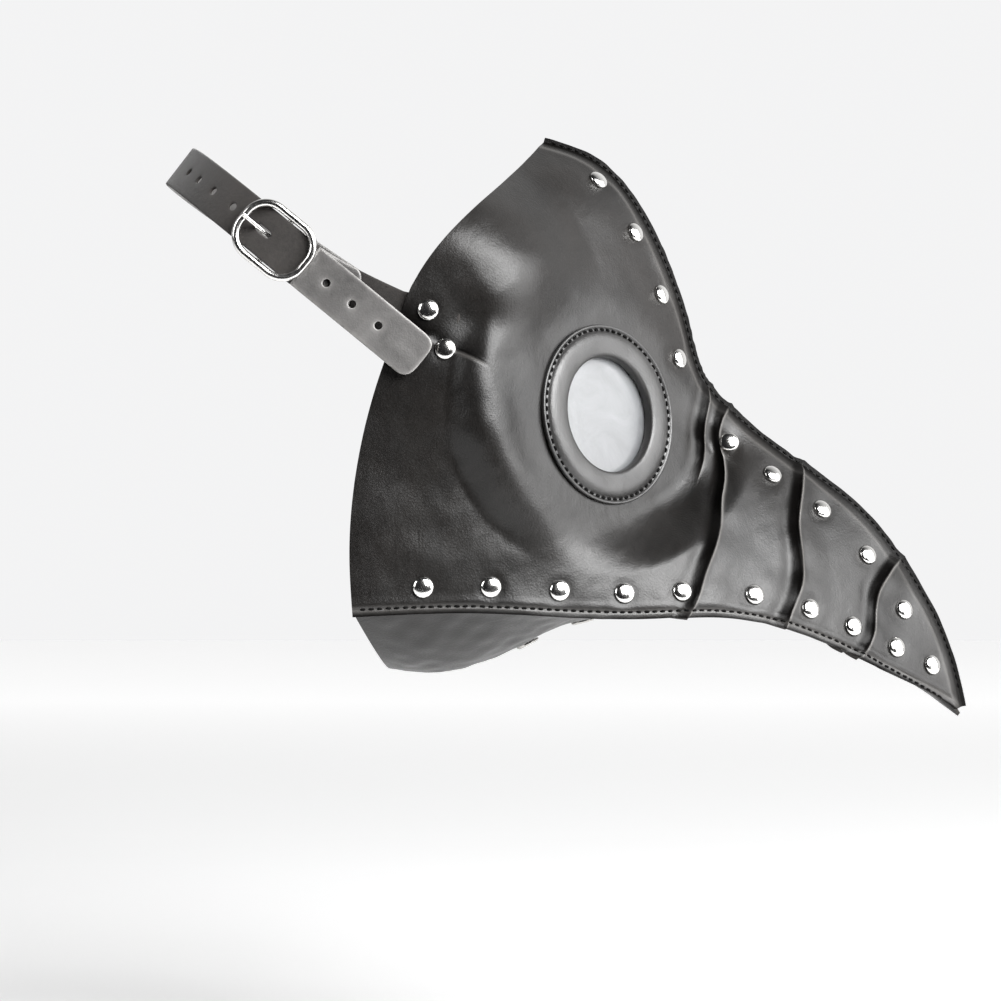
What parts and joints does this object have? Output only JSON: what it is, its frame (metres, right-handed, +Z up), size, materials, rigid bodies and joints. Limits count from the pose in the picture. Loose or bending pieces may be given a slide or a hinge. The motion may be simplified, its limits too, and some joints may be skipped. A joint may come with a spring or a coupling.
{
  "type": "plague doctor mask",
  "caption": "Long-beaked leather plague doctor mask with padded round eye rings, domed rivets, seamed ridge and a buckled head strap.",
  "frame": {"origin": "midway between the two temple rivets, on the axis that the head strap swings about", "axes": "+X forward along the beak, +Y to the wearer's left, +Z up"},
  "size_m": [0.319, 0.1696, 0.2282],
  "materials": {
    "panel_leather": "satin black leather with fine grain",
    "ring_leather": "satin black padded leather",
    "strap_leather": "satin black leather strap",
    "lens": "pale grey translucent acrylic",
    "rivet_nickel": "polished nickel",
    "buckle_nickel": "polished nickel",
    "eyelet_metal": "nickel-plated eyelet"
  },
  "bodies": {
    "mask": {"beak_gusset": "panel_leather", "beak_rivet_backs_left": "rivet_nickel", "beak_rivet_backs_right": "rivet_nickel", "beak_rivets_left": "rivet_nickel", "beak_rivets_right": "rivet_nickel", "dart_rivet_back_left": "rivet_nickel", "dart_rivet_back_right": "rivet_nickel", "dart_rivet_left": "rivet_nickel", "dart_rivet_right": "rivet_nickel", "eye_ring_left": "ring_leather", "eye_ring_right": "ring_leather", "forehead_rivet_backs_left": "rivet_nickel", "forehead_rivet_backs_right": "rivet_nickel", "forehead_rivets_left": "rivet_nickel", "forehead_rivets_right": "rivet_nickel", "lens_left": "lens", "lens_retainer_left": "ring_leather", "lens_retainer_right": "ring_leather", "lens_right": "lens", "lower_rivet_backs_left": "rivet_nickel", "lower_rivet_backs_right": "rivet_nickel", "lower_rivets_left": "rivet_nickel", "lower_rivets_right": "rivet_nickel", "side_panel_left": "panel_leather", "side_panel_right": "panel_leather", "temple_rivet_back_left": "rivet_nickel", "temple_rivet_back_right": "rivet_nickel", "temple_rivet_left": "rivet_nickel", "temple_rivet_right": "rivet_nickel", "vent_eyelets": "eyelet_metal", "vent_washers": "eyelet_metal"},
    "head_strap": {"buckle_frame": "buckle_nickel", "buckle_strap": "strap_leather", "fold_rivet": "rivet_nickel", "long_strap": "strap_leather"},
    "tail": {"strap_tail": "strap_leather"},
    "prong": {"buckle_prong": "buckle_nickel"}
  },
  "joints": [
    {"name": "strap_swing", "type": "hinge", "parent": "mask", "child": "head_strap", "pos_m": [0, 0, 0], "axis": [0, 1, 0], "range_deg": [-20, 45]},
    {"name": "tail_lift", "type": "hinge", "parent": "head_strap", "child": "tail", "pos_m": [-0.04432, -0.0817, 0.01513], "axis": [-0.6347, 0, -0.7727], "range_deg": [0, 60]},
    {"name": "prong_lift", "type": "hinge", "parent": "head_strap", "child": "prong", "pos_m": [-0.0575, -0.07916, 0.02595], "axis": [0.6347, 0, 0.7727], "range_deg": [0, 15]}
  ]
}
